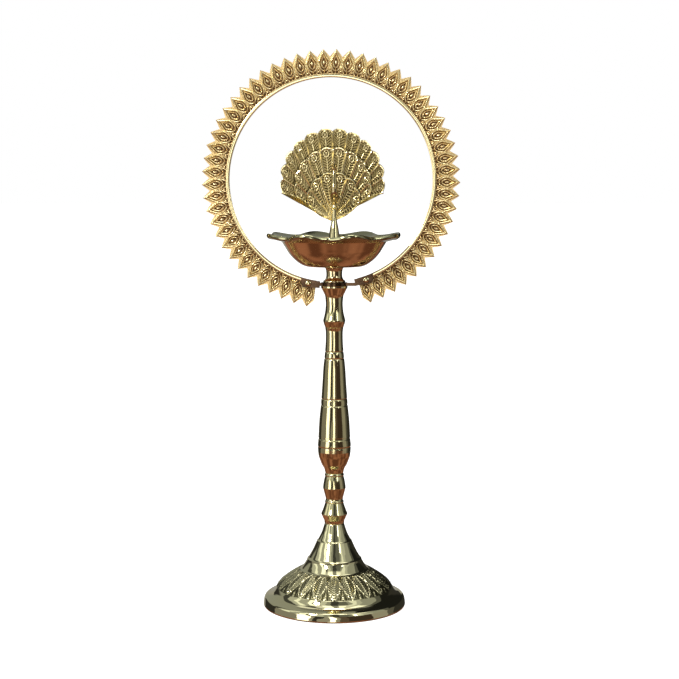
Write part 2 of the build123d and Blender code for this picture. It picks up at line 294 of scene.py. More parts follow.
HANDLING_FILM = make_handling_film()
BUFFING_RINGS = make_buffing_rings()
RUBBED_RELIEF = make_rubbed_relief()
for group in (HANDLING_FILM, BUFFING_RINGS, RUBBED_RELIEF):
    print(group.name, [socket.name for socket in group.interface.items_tree])

# %% [markdown]
# ## Two recipes for brass
# Each recipe is a function, so one metal differs from the next only in its numbers. Turned
# brass mixes a clean and a filmed colour. The bowl's lip is a case of its own: outside the
# wall its colour darkens with the distance from the axis, painted shade for its darker
# reflection. Cast brass reads the relief number for its colour, and is rougher in the cuts.


# %% Brass recipes
# Radii between which the lip's painted shade comes in.
LIP_SHADE_INNER_R, LIP_SHADE_OUTER_R = 36.0, 38.0


def metal(name):
    """A material whose shader is metallic, with the place of each point in its piece."""
    material = bpy.data.materials.new(name)
    material.use_nodes = True
    tree = material.node_tree
    shader = tree.nodes["Principled BSDF"]
    shader.inputs["Metallic"].default_value = 1.0
    place_in_piece = tree.nodes.new("ShaderNodeTexCoord").outputs["Object"]
    return material, tree, shader, place_in_piece


def turned_brass(name, clean, filmed, low, high, cloud_scale=30.0, ring_depth=0.02, lip_shade_colour=None):
    """Buffed brass: clean colour, colour under the film, roughness range, painted-shade colour of the lip."""
    material, tree, shader, where = metal(name)
    film = node(tree, "ShaderNodeGroup", {"node_tree": HANDLING_FILM}, Vector=where)
    film.inputs["Cloud Scale"].default_value = cloud_scale
    film.inputs["Low Roughness"].default_value = low
    film.inputs["High Roughness"].default_value = high
    colour = node(tree, "ShaderNodeMix", {"data_type": "RGBA"}, Factor=film.outputs["Mask"])
    colour.inputs[6].default_value = (*clean, 1)
    colour.inputs[7].default_value = (*filmed, 1)
    if lip_shade_colour is not None:
        # Painted shade: past the wall's radius the colour turns to the darker lip colour, standing in for the
        # lip's darker reflection.
        flat = node(tree, "ShaderNodeVectorMath", {"operation": "MULTIPLY"}, i0=where, i1=(1, 1, 0))
        out = node(tree, "ShaderNodeVectorMath", {"operation": "LENGTH"}, i0=flat.outputs[0])
        lip_shade = node(tree, "ShaderNodeMapRange", Value=out.outputs["Value"])
        set_range(lip_shade, LIP_SHADE_INNER_R * MM, LIP_SHADE_OUTER_R * MM)
        unshaded = colour.outputs[2]
        colour = node(tree, "ShaderNodeMix", {"data_type": "RGBA"}, Factor=lip_shade.outputs["Result"])
        tree.links.new(unshaded, colour.inputs[6])
        colour.inputs[7].default_value = (*lip_shade_colour, 1)
    rings = node(tree, "ShaderNodeGroup", {"node_tree": BUFFING_RINGS}, Vector=where)
    bump = node(tree, "ShaderNodeBump", Height=rings.outputs["Height"], Strength=ring_depth)
    bump.inputs["Distance"].default_value = 0.0004
    tree.links.new(colour.outputs[2], shader.inputs["Base Color"])
    tree.links.new(film.outputs["Roughness"], shader.inputs["Roughness"])
    tree.links.new(bump.outputs["Normal"], shader.inputs["Normal"])
    return material


def cast_brass(name, cut, middle, ridge_colour, low, high, bare):
    """Cast brass: colours from the cuts to the ridges, rougher in the cuts, less bare if dull."""
    material, tree, shader, where = metal(name)
    shader.inputs["Metallic"].default_value = bare
    relief = node(tree, "ShaderNodeAttribute", {"attribute_name": "relief"})
    rubbed = node(tree, "ShaderNodeGroup", {"node_tree": RUBBED_RELIEF}, Vector=where,
                  Relief=relief.outputs["Fac"])
    rubbed.inputs["Cut Colour"].default_value = (*cut, 1)
    rubbed.inputs["Middle Colour"].default_value = (*middle, 1)
    rubbed.inputs["Ridge Colour"].default_value = (*ridge_colour, 1)
    rough = node(tree, "ShaderNodeMapRange", Value=rubbed.outputs["Mask"])
    set_range(rough, high, low, "To")
    pitted = node(tree, "ShaderNodeMapRange", Value=rubbed.outputs["Mask"])
    set_range(pitted, 0.16, 0.0, "To")
    bump = node(tree, "ShaderNodeBump", Height=rubbed.outputs["Grain"], Strength=pitted.outputs["Result"])
    bump.inputs["Distance"].default_value = 0.0002
    tree.links.new(rubbed.outputs["Colour"], shader.inputs["Base Color"])
    tree.links.new(rough.outputs["Result"], shader.inputs["Roughness"])
    tree.links.new(bump.outputs["Normal"], shader.inputs["Normal"])
    return material


print("recipes ready: turned_brass and cast_brass")

# %% [markdown]
# ## The lamp's own metals
# The stem and bowl are a pale yellow brass, buffed bright. The bracket's colour is painted
# dark, a painted shade for the dark room that its smooth arms reflect. The halo is a redder
# brass than the fan, and both keep some patina that is less than fully metallic. The last
# three numbers of a cast brass are its roughness on the ridges, its roughness in the cuts and how bare its
# metal is.

# %% Metals
STEM_BRASS = turned_brass("stem_brass", (0.84, 0.76, 0.44), (0.72, 0.63, 0.34), 0.045, 0.12)
# The bowl's last colour is the lip's painted shade.
BOWL_BRASS = turned_brass("bowl_brass", (0.84, 0.73, 0.44), (0.72, 0.58, 0.33), 0.06, 0.17, 22.0,
                          lip_shade_colour=(0.42, 0.40, 0.23))
# Painted shade: the bracket's colours are kept dark for the dark room its arms reflect.
BRACKET_BRASS = turned_brass("bracket_brass", (0.10, 0.06, 0.035), (0.05, 0.03, 0.018), 0.22, 0.40, 60.0)
STUD_BRASS = turned_brass("stud_brass", (0.80, 0.70, 0.40), (0.60, 0.50, 0.27), 0.22, 0.34, 90.0)
FOOT_BRASS = cast_brass("foot_brass", (0.07, 0.065, 0.03), (0.42, 0.38, 0.21), (0.86, 0.79, 0.48),
                        0.05, 0.36, 1.0)
HALO_BRASS = cast_brass("halo_brass", (0.12, 0.06, 0.02), (0.72, 0.48, 0.19), (1.0, 0.86, 0.49),
                        0.10, 0.36, 0.86)
FAN_BRASS = cast_brass("fan_brass", (0.035, 0.025, 0.008), (0.44, 0.34, 0.13), (0.97, 0.84, 0.48),
                       0.09, 0.38, 0.92)
BIRD_BRASS = cast_brass("bird_brass", (0.08, 0.05, 0.02), (0.46, 0.34, 0.14), (0.86, 0.74, 0.44),
                        0.06, 0.22, 1.0)
print("metals", [material.name for material in bpy.data.materials if material.name.endswith("_brass")])

# %% [markdown]
# ## Repeating a segment around an axis
# The foot has twenty petals and the halo fifty-seven rays, all alike. So only one segment
# is carved, and a Geometry Nodes tree repeats it: a row of points, one rotation each, and
# an instance on every point. The instances are made real and their seams are merged.


# %% Geometry Nodes: segments around an axis
def make_around_tree():
    """The tree that repeats a segment, and the identifier of each of its inputs."""
    tree = bpy.data.node_groups.new("segments_around_axis", "GeometryNodeTree")
    sockets = [("Segment", "NodeSocketGeometry"), ("Count", "NodeSocketInt"), ("Step", "NodeSocketFloat"),
               ("First", "NodeSocketFloat"), ("Centre", "NodeSocketVector"), ("Axis", "NodeSocketVector"),
               ("Seam", "NodeSocketFloat"), ("Material", "NodeSocketMaterial")]
    names = {label: tree.interface.new_socket(name=label, in_out="INPUT", socket_type=kind).identifier
             for label, kind in sockets}
    tree.interface.new_socket(name="Piece", in_out="OUTPUT", socket_type="NodeSocketGeometry")
    given, out = tree.nodes.new("NodeGroupInput").outputs, tree.nodes.new("NodeGroupOutput")
    row = node(tree, "GeometryNodeMeshLine", {"mode": "OFFSET"}, Count=given["Count"])
    row.inputs["Offset"].default_value = (0, 0, 0)
    tree.links.new(given["Centre"], row.inputs["Start Location"])
    turn = node(tree, "ShaderNodeMath", {"operation": "MULTIPLY_ADD"},
                i0=tree.nodes.new("GeometryNodeInputIndex").outputs[0], i1=given["Step"], i2=given["First"])
    spin = node(tree, "FunctionNodeAxisAngleToRotation", Axis=given["Axis"], Angle=turn.outputs[0])
    copies = node(tree, "GeometryNodeInstanceOnPoints", Points=row.outputs[0], Instance=given["Segment"],
                  Rotation=spin.outputs[0])
    real = node(tree, "GeometryNodeRealizeInstances", Geometry=copies.outputs[0])
    merged = node(tree, "GeometryNodeMergeByDistance", Geometry=real.outputs[0], Distance=given["Seam"])
    shown = node(tree, "GeometryNodeSetMaterial", Geometry=merged.outputs[0], Material=given["Material"])
    tree.links.new(shown.outputs[0], out.inputs[0])
    return tree, names


AROUND_TREE, AROUND_INPUTS = make_around_tree()
print("inputs of", AROUND_TREE.name, AROUND_INPUTS)


def repeat_around(segment, count, step, first, centre, axis, material):
    """The mesh of one segment repeated around an axis; angles in degrees."""
    maker = bpy.data.objects.new(segment.name + "_maker", segment)
    bpy.context.scene.collection.objects.link(maker)
    modifier = maker.modifiers.new("around", "NODES")
    modifier.node_group = AROUND_TREE
    settings = {"Count": count, "Step": math.radians(step), "First": math.radians(first),
                "Centre": centre, "Axis": axis, "Seam": SEAM, "Material": material}
    for label, value in settings.items():
        modifier[AROUND_INPUTS[label]] = value
    graph = bpy.context.evaluated_depsgraph_get()
    mesh = bpy.data.meshes.new_from_object(maker.evaluated_get(graph))
    bpy.data.objects.remove(maker)
    return mesh


# %% [markdown]
# ## Turned pieces
# A lathe piece is a profile spun around the stem's axis. Only a slice of it is drawn and
# then repeated. A carve function may push the surface in or out along its normal, which
# cuts ring lines or raises leaves. The profile is a list of stations, (radius, height).


# %% Helper for turned pieces
UP = (0, 0, 1)


def turned_slice(name, stations, slice_angle, columns, carve=None):
    """A slice of a turned piece; carve gives heights in mm for the stations and angles."""
    angles = np.radians(np.linspace(-slice_angle / 2, slice_angle / 2, columns + 1))
    tangent = np.gradient(stations, axis=0)
    normal = np.stack([-tangent[:, 1], tangent[:, 0]], axis=1)
    normal /= np.maximum(np.linalg.norm(normal, axis=1, keepdims=True), 1e-9)
    heights, relief = (0, None) if carve is None else carve(stations, angles)
    heights = np.broadcast_to(heights, (len(stations), len(angles)))
    r = stations[:, :1] + heights * normal[:, :1]
    z = stations[:, 1:] + heights * normal[:, 1:]
    points = np.stack([r * np.cos(angles), r * np.sin(angles), z], axis=-1)
    return grid_mesh(name, points, relief)


def turned_mesh(name, stations, material, carve=None, slices=12, columns=10):
    """The mesh of a whole turned piece."""
    piece = turned_slice(name, stations, 360 / slices, columns, carve)
    return repeat_around(piece, slices, 360 / slices, 0, (0, 0, 0), UP, material)


def add_line_stations(stations, heights, first_outside=6):
    """More stations of the outside at each cut line, so that the cut keeps its shape."""
    for z in heights:
        at = next(i for i in range(first_outside, len(stations)) if stations[i, 1] < z)
        near = z + np.array([0.8, 0.5, 0.3, 0.12, -0.12, -0.3, -0.5, -0.8])
        r = np.interp(near, [stations[at, 1], stations[at - 1, 1]], [stations[at, 0], stations[at - 1, 0]])
        kept = (near < stations[at - 1, 1] - 0.05) & (near > stations[at, 1] + 0.05)
        stations = np.insert(stations, at, np.stack([r, near], -1)[kept], axis=0)
    return stations


def cut_lines(heights, depth=0.34, width=0.34):
    """A carve function that cuts ring lines at the given heights."""
    def carve(stations, angles):
        depths = sum(ridge(stations[:, 1] - z, width) for z in heights) * -depth
        outside = (stations[:, 0] > STUD_HOLE_R + 0.5)
        return (depths * outside)[:, None], None
    return carve


STUD_R = 3.0
STUD_HOLE_R = 3.05
print("studs of radius", STUD_R, "mm in holes of", STUD_HOLE_R)

# %% [markdown]
# ## Foot
# The foot is one casting: a flared neck, a plain band, a domed band of twenty leaves that
# point outwards, a bright hollow moulding and a rolled base. The leaves are low relief,
# so they are carved into the profile's surface as heights: a raised outline, a vein, and
# slanting cuts on each side of it, with a row of beads along the inner edge.

# %% Leaves of the foot
PETALS = 20
PETAL_IN_R, PETAL_OUT_R = 23.9, 40.4
PETAL_LENGTH = 21.5
PETAL_LOW_Z, PETAL_HIGH_Z = 12, 25.2
SUNK = 0.12
FULL_RELIEF = 0.42
PLAIN_RELIEF, HOLLOW_RELIEF = 0.93, 0.35


def carve_petals(stations, angles):
    """Heights in mm of the leaves, and the relief number for the metal."""
    r = stations[:, :1]
    rim_row = np.argmax(stations[:, 1] <= 0.0)
    outside = np.arange(len(stations))[:, None] < rim_row
    across = angles[None, :] / (math.pi / PETALS)
    along = (r - PETAL_IN_R) / (PETAL_OUT_R - PETAL_IN_R)
    in_band = outside & (along > 0) & (along < 1)
    in_band &= (stations[:, 1:] < PETAL_HIGH_Z) & (stations[:, 1:] > PETAL_LOW_Z)
    share = np.clip(along, 0.001, 0.999)
    half = r * math.pi / PETALS
    length = share * PETAL_LENGTH
    leaf_half = 0.97 * np.sin(math.pi * share ** 0.72) ** 0.62
    side = (leaf_half - np.abs(across)) * half
    lateral = np.abs(across) * half
    inside = np.clip(side / 0.4, 0, 1)
    barbs = 0.5 + 0.5 * np.sin(2 * math.pi * (length + 1.05 * lateral) / 1.9)
    height = 0.5 * ridge(side - 0.38, 0.4) + 0.42 * ridge(lateral, 0.34) * inside
    height = np.maximum(height, 0.42 * barbs ** 1.4 * inside * np.clip((side - 0.6) / 0.3, 0, 1))
    gap = (1 - np.abs(across)) * half
    seed = ridge(gap, 0.55) * ridge(length - 19.2, 1.1) + ridge(gap, 0.9) * ridge(length - 20.7, 0.5)
    stipple = np.maximum(0, np.cos(length * 4.6) * np.cos(gap * 4.6 + np.round(length * 1.46) * math.pi))
    height = np.maximum(height, np.maximum(0.42 * seed, 0.3 * stipple) * (side < -0.1))
    beads = ridge((np.abs(across) - 0.5) * half, 0.7) * ridge(length - 0.9, 0.65)
    height = np.maximum(height, 0.5 * beads)
    edge = np.clip(np.minimum(along, 1 - along) / 0.03, 0, 1)
    height = np.where(in_band, (height - SUNK) * edge, 0)
    relief = np.where(in_band, (height + SUNK) / FULL_RELIEF, PLAIN_RELIEF)
    relief = np.where(outside, relief, HOLLOW_RELIEF)
    return height, relief


print(PETALS, "leaves from radius", PETAL_IN_R, "to", PETAL_OUT_R, "mm")

# %% [markdown]
# ## The foot's profile
# The profile starts in the hole for the stud, comes down the outside and goes back up
# the hollow underneath. It has three parts, because the band of leaves needs many more
# stations than the plain metal above and below it.

# %% Foot
foot_stations = outline(
    [(0, 45.0), (STUD_R, 45.0)], [(STUD_R, 45.0), (STUD_R, 57.4)], [(STUD_R, 57.4), (6.5, 57.4)],
    [(6.5, 57.4), (6.8, 57.1)],
    [(6.8, 57.1), (7.6, 54.6), (9.0, 50.5), (11.5, 45.6)], [(11.5, 45.6), (12.1, 45.2)],
    [(12.1, 45.2), (12.4, 44.4), (15.0, 38.6), (18.1, 33.0)], [(18.1, 33.0), (18.9, 32.6)],
    [(18.9, 32.6), (19.3, 31.2), (20.8, 28.6), (23.0, 25.6)], per_span=5)
petal_stations = outline([(23.0, 25.6), (23.8, 25.2), (28.4, 22.6), (33.2, 19.5), (37.8, 15.8), (40.6, 12.4)],
                         per_span=14)
base_stations = outline(
    [(40.6, 12.4), (41.3, 11.2)], [(41.3, 11.2), (42.1, 9.9), (43.6, 8.3), (45.6, 7.1), (47.3, 6.5)],
    [(47.3, 6.5), (48.2, 6.1), (48.9, 5.0), (49.3, 3.2), (49.55, 0.7)], [(49.55, 0.7), (49.2, 0.0)],
    [(49.2, 0.0), (46.6, 0.0)],
    [(46.6, 0.0), (43.6, 4.6), (38.2, 10.6), (30.0, 17.4), (21.5, 22.5), (17.0, 29.5), (13.0, 36.6),
     (9.0, 41.0)],
    [(9.0, 41.0), (0, 41.0)], per_span=5)
foot_profile = np.vstack([foot_stations, petal_stations[1:], base_stations[1:]])
foot_mesh = turned_mesh("foot", foot_profile, FOOT_BRASS, carve_petals, PETALS, 22)
place("bell_foot", foot_mesh, FOOT_BRASS, "stand", ["foot"])

# %% [markdown]
# ## Stem
# Three turned lengths stand on the foot. Each has a crisp end face where it meets the
# next, and a hole for a stud at each end: the upper one holds its stud fast, the lower
# one is a little wider. The long baluster carries three pairs of lines that the turner
# cut with the corner of a tool.


# %% Lower stem
def with_holes(low, high, deep_low, deep_high, *runs):
    """The profile of a stem length, from the bottom of its upper hole to its lower hole."""
    top_r, low_r = runs[0][0][0], runs[-1][-1][0]
    upper_end, lower_end = high - deep_high, low + deep_low
    return outline(
        [(0, upper_end), (STUD_R, upper_end)], [(STUD_R, upper_end), (STUD_R, high)],
        [(STUD_R, high), (top_r, high)], *runs, [(low_r, low), (STUD_HOLE_R, low)],
        [(STUD_HOLE_R, low), (STUD_HOLE_R, lower_end)], [(STUD_HOLE_R, lower_end), (0, lower_end)])


lower_stem = with_holes(
    57.4, 92.8, 13.6, 10.0, [(6.1, 92.8), (6.3, 92.6)], [(6.3, 92.6), (6.75, 91.6), (6.4, 90.8)],
    [(6.4, 90.8), (7.2, 87.6), (7.9, 82.9), (7.6, 81.2)],
    [(7.6, 81.2), (6.9, 78.4), (6.1, 75.4), (6.0, 73.8)], [(6.0, 73.8), (6.6, 72.8), (6.3, 72.0)],
    [(6.3, 72.0), (7.7, 67.8), (9.0, 64.6), (9.1, 63.9), (8.7, 63.0)],
    [(8.7, 63.0), (7.9, 61.2), (7.1, 59.4), (6.9, 57.6)], [(6.9, 57.6), (6.7, 57.4)])
place("lower_stem_length", turned_mesh("lower_stem", lower_stem, STEM_BRASS), STEM_BRASS,
      "lower_column", ["lower_stem"])

# %% Baluster
baluster = with_holes(
    92.8, 194.4, 13.6, 10.0, [(6.1, 194.4), (6.3, 194.2)],
    [(6.3, 194.2), (5.9, 191.0), (5.9, 185.5), (6.2, 180.0), (6.9, 172.8), (7.6, 166.1), (8.3, 154.9),
     (9.35, 140.4), (10.4, 129.8), (11.1, 117.0), (11.5, 112.4), (11.3, 107.6)],
    [(11.3, 107.6), (10.8, 104.5), (9.8, 101.7), (8.7, 98.9), (7.1, 96.1), (6.3, 93.0)],
    [(6.3, 93.0), (6.1, 92.8)])
BALUSTER_LINES = [177.7, 172.8, 144.9, 140.4, 117.0, 111.3]
baluster = add_line_stations(baluster, BALUSTER_LINES)
place("long_baluster", turned_mesh("baluster", baluster, STEM_BRASS, cut_lines(BALUSTER_LINES)),
      STEM_BRASS, "column", ["baluster"])

# %% Upper knop
upper_knop = with_holes(
    194.4, 223.0, 11.6, 10.0, [(8.9, 223.0), (9.15, 222.7)], [(9.15, 222.7), (9.1, 221.6), (8.8, 221.2)],
    [(8.8, 221.2), (7.5, 218.6), (6.4, 216.2), (6.0, 213.1), (5.85, 210.4), (6.0, 207.6), (6.3, 204.9),
     (6.9, 202.1), (7.6, 199.4), (7.5, 198.0)],
    [(7.5, 198.0), (7.1, 196.6), (6.4, 194.6)], [(6.4, 194.6), (6.2, 194.4)])
place("upper_knop_length", turned_mesh("upper_knop", upper_knop, STEM_BRASS), STEM_BRASS,
      "upper_column", ["upper_knop"])

# %% [markdown]
# ## Ferrule and pedestal
# Two more turned pieces close the ends of the bowl: a short waisted ferrule under it, and
# in it a slim cone that runs up into the rod that carries the bird. They are made like
# the stem, each from its own profile.

# %% Neck under the bowl
neck = outline(
    [(0, 239.2), (2.5, 239.2)], [(2.5, 239.2), (2.5, 236.2)], [(2.5, 236.2), (7.4, 236.2)],
    [(7.4, 236.2), (6.2, 235.0), (5.6, 233.0), (5.5, 229.6), (6.2, 227.5), (7.3, 226.6)],
    [(7.3, 226.6), (7.6, 226.2), (7.6, 225.6), (7.3, 225.2)], [(7.3, 225.2), (STUD_HOLE_R, 225.2)],
    [(STUD_HOLE_R, 225.2), (STUD_HOLE_R, 234.6)], [(STUD_HOLE_R, 234.6), (0, 234.6)])
place("bowl_ferrule", turned_mesh("bowl_neck", neck, BOWL_BRASS), BOWL_BRASS, "bowl", ["bowl_neck"])

# %% Pedestal under the peacock
pedestal = outline(
    [(0, 276.7), (1.7, 276.7)], [(1.7, 276.7), (1.9, 276.2), (1.6, 275.2)],
    [(1.6, 275.2), (1.6, 271.0), (1.8, 268.0), (2.3, 265.2), (2.9, 262.4), (3.4, 259.0), (3.9, 255.5),
     (4.5, 252.0), (5.2, 249.4), (6.3, 247.7)], [(6.3, 247.7), (6.6, 247.1), (6.6, 246.4), (6.3, 246.0)],
    [(6.3, 246.0), (STUD_R, 246.0)], [(STUD_R, 246.0), (STUD_R, 251.0)], [(STUD_R, 251.0), (0, 251.0)])
place("finial_spindle", turned_mesh("finial_pedestal", pedestal, STEM_BRASS, None, 8, 8), STEM_BRASS,
      "finial", ["finial_pedestal"])

# %% [markdown]
# ## Studs
# The lengths screw together on 6 mm studs. A thread is a profile that climbs as it goes
# round: on a grid of height by angle, the radius follows a triangle wave of height less
# one pitch for each turn. Its ends are closed flat.

# %% Threaded studs
THREAD_PITCH = 1.0
THREAD_DEPTH = 0.55


def threaded_stud(name, low, high):
    """A stud from one height to another, with a thread all along it."""
    heights = np.linspace(low, high, int((high - low) / THREAD_PITCH * 8))
    angles = np.linspace(0, 2 * math.pi, 40, endpoint=False)
    wave = (heights[:, None] / THREAD_PITCH - angles[None, :] / (2 * math.pi)) % 1.0
    r = STUD_R - THREAD_DEPTH * np.abs(2 * wave - 1)
    ends = np.minimum(heights - low, high - heights)[:, None]
    r = np.minimum(r, STUD_R - THREAD_DEPTH + ends * 0.9)
    z = np.broadcast_to(heights[:, None], r.shape)
    points = np.stack([r * np.cos(angles), r * np.sin(angles), z], -1)
    return grid_mesh(name, points, wrap_columns=True)


STUDS = {"foot_stud": ("stand", 45.0, 70.4), "lower_stud": ("lower_column", 82.8, 105.8),
         "upper_stud": ("column", 184.4, 205.4), "bowl_stud": ("upper_column", 213.0, 234.0),
         "finial_stud": ("finial", 241.0, 251.0)}
for stud, (body, low, high) in STUDS.items():
    place(stud + "_threaded", threaded_stud(stud, low, high), STUD_BRASS, body, [stud], True)

# %% [markdown]
# ## Halo
# The halo is a cast plate with 57 leaf rays. One ray is carved as a loop of rows: up the
# inner edge, across the front and down the pointed edge to the back. Each ray has a
# raised leaf outline, a teardrop with a small boss inside it, and half a small leaflet on
# each side at the smooth inner rim.

# %% Relief of a ray
RING_CENTRE = (-2.1, 0, 294.9)
RING_IN_R, VALLEY_R, TIP_R = 69.15, 82.9, 87.9
RAYS, RAY_PITCH = 57, 5.905
RING_TURN = 3.45
HALO_THICK = 2.0
LEAF = (87.0, 79.6, 73.2, 4.15)
TEARDROP = (84.2, 79.3, 75.2, 2.35)


def onion(r, tip, belly, foot, half_width):
    """Half width of a leaf that is pointed outwards and round inwards."""
    pointed = half_width * np.clip((tip - r) / (tip - belly), 0, 1)
    rounded = half_width * np.sqrt(np.clip(1 - ((belly - r) / (belly - foot)) ** 2, 0, 1))
    return np.where(r > belly, pointed, rounded)


def halo_heights(r, lateral, half):
    """Relief of one ray, in mm above the plate."""
    off = np.abs(lateral)
    leaf = (onion(r, *LEAF) - off) * 0.88
    height = 0.72 * ridge(leaf - 0.42, 0.42)
    tear = (onion(r, *TEARDROP) - off) * 0.9
    height = np.maximum(height, 0.66 * ridge(tear - 0.34, 0.32) * (tear > -0.3))
    core = np.sqrt((off / 0.75) ** 2 + ((r - 79.0) / 1.5) ** 2)
    height = np.maximum(height, 0.5 * np.sqrt(np.clip(1 - core ** 2, 0, 1)))
    gap = half - off
    leaflet = 2.0 * np.clip((76.6 - r) / 5.0, 0, 1) - gap
    low_part = (r > 71.8) & (r < 77.0)
    height = np.maximum(height, 0.6 * ridge(leaflet - 0.3, 0.32) * low_part)
    height = np.maximum(height, 0.5 * ridge(np.hypot(gap, r - 73.0), 0.6))
    rim = np.sqrt(np.clip(1 - ((r - 70.35) / 1.3) ** 2, 0, 1))
    return np.maximum(height, 0.6 * rim)


print(RAYS, "rays,", RAY_PITCH, "degrees apart, from radius", RING_IN_R, "to", TIP_R, "mm")

# %% [markdown]
# ## From a ray to the halo
# The rows of a ray stop at its pointed edge, which is a valley between two rays and a tip
# in the middle. The tree then sets the rays side by side, with the gap at the bottom
# turned a little to one side, where the bracket holds the two ends.


# %% Halo
BACK_ROWS = 8


def ray_mesh(columns=28, rows=50):
    """One ray, a closed loop of rows over its front and its flat back."""
    across = np.linspace(-1, 1, columns + 1)
    angles = np.radians(across * RAY_PITCH / 2)
    edge = VALLEY_R + (TIP_R - VALLEY_R) * (1 - np.abs(across))
    share = np.linspace(0, 1, rows)[:, None]
    r = RING_IN_R + share * (edge - RING_IN_R)
    r_front, half = r, r * math.radians(RAY_PITCH / 2)
    height = halo_heights(r, r * angles, half)
    height = height * np.clip((edge - r) / 0.5 + 0.2, 0, 1)
    front = np.stack([r * np.sin(angles), -HALO_THICK - height, r * np.cos(angles)], -1)
    back_share = np.linspace(1, 0, BACK_ROWS)[:, None]
    r = RING_IN_R + back_share * (edge - RING_IN_R)
    back = np.stack([r * np.sin(angles), np.zeros_like(r), r * np.cos(angles)], -1)
    points = np.concatenate([front, back])
    border = 0.5 * ((onion(r_front, *LEAF) < np.abs(r_front * angles)) & (r_front > 78))
    front_relief = np.maximum(np.clip(height / 0.6, 0, 1), border)
    relief = np.concatenate([front_relief, np.full((BACK_ROWS, columns + 1), 0.75)])
    return grid_mesh("ray", points, relief, wrap_rows=True)


first_ray = -(RAYS - 1) / 2 * RAY_PITCH - RING_TURN
centre = tuple(c * MM for c in RING_CENTRE)
halo = repeat_around(ray_mesh(), RAYS, RAY_PITCH, first_ray, centre, (0, 1, 0), HALO_BRASS)
place("prabhavali_halo", halo, HALO_BRASS, "prabhavali", ["prabhavali_ring"], True)

# %% [markdown]
# ## Bowl
# The bowl is round where it holds the oil and opens into a lip of eight lobes. Rows run
# from the socket for the finial, over the floor and the lip, back under it and down to
# the neck. Past the wall the radius and the height of each row swell at a lobe and pinch
# at a valley, which gives the lip its wave.

# %% Bowl
LOBES, FIRST_LOBE = 8, 17.5
WALL_R, WALL_TOP_Z = 35.0, 254.9
UNDER_R, UNDER_Z = 35.9, 253.2
EDGE_VALLEY, EDGE_LOBE = (41.0, 257.2), (47.2, 259.2)
BEAD = 2.9


def bowl_mesh():
    """The bowl as rows of rings, from its inner socket over the lip to its underside."""
    angles = np.linspace(0, 2 * math.pi, 320, endpoint=False)
    wave = (1 + np.cos(LOBES * (angles - math.radians(FIRST_LOBE)))) / 2
    swell = wave ** 0.62
    edge_r = EDGE_VALLEY[0] + (EDGE_LOBE[0] - EDGE_VALLEY[0]) * swell
    edge_z = EDGE_VALLEY[1] + (EDGE_LOBE[1] - EDGE_VALLEY[1]) * wave ** 1.2
    inside = outline(
        [(0, 240.4), (STUD_HOLE_R, 240.4)], [(STUD_HOLE_R, 240.4), (STUD_HOLE_R, 246.0)],
        [(STUD_HOLE_R, 246.0), (5.7, 246.0)], [(5.7, 246.0), (6.0, 245.6)],
        [(6.0, 245.6), (6.1, 240.0), (7.4, 238.0)],
        [(7.4, 238.0), (12.0, 237.8), (18.6, 238.0), (22.0, 239.3), (25.3, 241.6), (27.8, 244.0),
         (29.9, 246.6), (32.0, 250.0), (33.8, 253.2), (WALL_R, WALL_TOP_Z)])
    outside = outline(
        [(UNDER_R, UNDER_Z), (33.2, 248.8), (31.5, 246.0), (29.4, 243.3), (26.7, 240.6), (22.9, 237.8),
         (19.2, 236.3), (16.0, 236.2)], [(16.0, 236.2), (2.5, 236.2)], [(2.5, 236.2), (2.5, 239.2)],
        [(2.5, 239.2), (0, 239.2)])
    rows = [(np.full_like(angles, r), np.full_like(angles, z)) for r, z in inside]
    lip = np.linspace(0, 1, 16)[1:]
    crease = ridge(wave, 0.16)
    for share in lip:
        cup = math.sin(math.pi * share)
        z = WALL_TOP_Z + (edge_z - 0.1 - WALL_TOP_Z) * share - 0.6 * cup * wave + 0.6 * cup * crease
        rows.append((WALL_R + (edge_r - 0.9 - WALL_R) * share, z))
    for turn in np.linspace(-75, 75, 9):
        a = math.radians(turn)
        rows.append((edge_r - 0.7 + 0.9 * math.cos(a), edge_z - BEAD / 2 - BEAD / 2 * math.sin(-a)))
    for share in lip[::-1]:
        cup = math.sin(math.pi * share)
        z = UNDER_Z + (edge_z - BEAD + 0.1 - UNDER_Z) * share + 0.3 * cup * crease
        rows.append((UNDER_R + (edge_r - 1.0 - UNDER_R) * share, z))
    rows += [(np.full_like(angles, r), np.full_like(angles, z)) for r, z in outside]
    points = np.stack([np.stack([r * np.cos(angles), r * np.sin(angles), z], -1) for r, z in rows])
    return grid_mesh("bowl", points, wrap_columns=True)


place("lobed_bowl", bowl_mesh(), BOWL_BRASS, "bowl", ["bowl_dish"])

# %% [markdown]
# ## Tail fan
# The fan is one casting of three stepped tiers. Each tier is a sheet of feathers that
# runs from the root at the bottom to a scalloped arc. Across a feather there is a raised
# outline, a shaft, slanting barbs, and near its tip a round eye in a ring.

# %% One feather
FAN_BOW = 0.0011
EYE_OUTER = 1.25
# Lower edge of each tier, as shares of the way across and up from its root to its corner.
OUTER_SIDE = [(0, 0), (0.13, 0.11), (0.27, 0.23), (0.41, 0.46), (0.51, 0.66), (0.62, 0.80), (0.76, 0.90),
              (0.9, 0.975), (1, 1)]
MIDDLE_SIDE = [(0, 0), (0.18, 0.07), (0.38, 0.22), (0.58, 0.49), (0.72, 0.72), (0.88, 0.90), (1, 1)]
INNER_SIDE = [(0, 0), (0.26, 0.05), (0.55, 0.22), (0.83, 0.64), (1, 1)]


